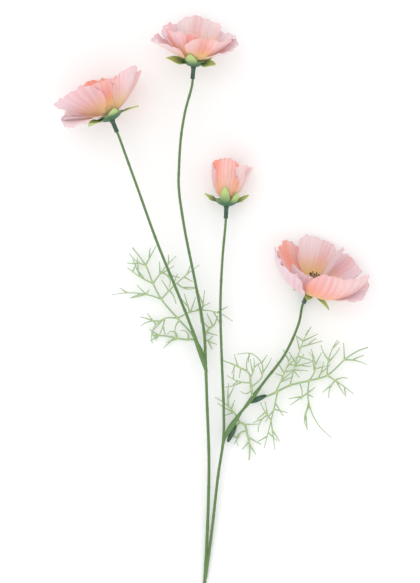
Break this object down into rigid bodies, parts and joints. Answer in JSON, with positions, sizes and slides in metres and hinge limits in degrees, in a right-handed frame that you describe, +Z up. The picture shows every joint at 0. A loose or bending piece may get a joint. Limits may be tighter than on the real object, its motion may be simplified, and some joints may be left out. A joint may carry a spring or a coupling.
{
  "type": "poppy flower spray",
  "caption": "Cut spray of pink silk poppies: one forking green stem with open blooms, a half-closed bud and fine thread-like fronds, lying on its side.",
  "frame": {"origin": "on the table the spray lies on, under the middle of its outline", "axes": "+Y along the stem from the cut end to the top bloom, +Z up from the table, +X to the right for someone looking down on it"},
  "size_m": [0.3094, 0.5962, 0.0782],
  "materials": {
    "petal": "thin satin-like cloth, pale pink shading to coral and to gold at the root",
    "sepal": "soft moulded plastic, dark green at the cup and yellow-green at the tips",
    "sleeve": "dark green moulded plastic",
    "heart": "dark dyed thread and plastic",
    "stem": "smooth green plastic coat over wire",
    "frond": "pale green soft moulded plastic"
  },
  "bodies": {
    "root": {"branched_stem": "stem", "bloom_left_petals": "petal", "bloom_left_sepals": "sepal", "bloom_left_sleeve": "sleeve", "bloom_left_heart": "heart", "bloom_top_petals": "petal", "bloom_top_sepals": "sepal", "bloom_top_sleeve": "sleeve", "bloom_top_heart": "heart", "bloom_right_petals": "petal", "bloom_right_sepals": "sepal", "bloom_right_sleeve": "sleeve", "bloom_right_heart": "heart", "bud_petals": "petal", "bud_sepals": "sepal", "bud_sleeve": "sleeve", "frond_socket_upper": "sleeve", "frond_socket_lower": "sleeve", "frond_left_long": "frond", "frond_left_low": "frond", "frond_left_back": "frond", "frond_right_long": "frond", "frond_right_inner": "frond", "frond_right_drooping": "frond"}
  },
  "joints": []
}
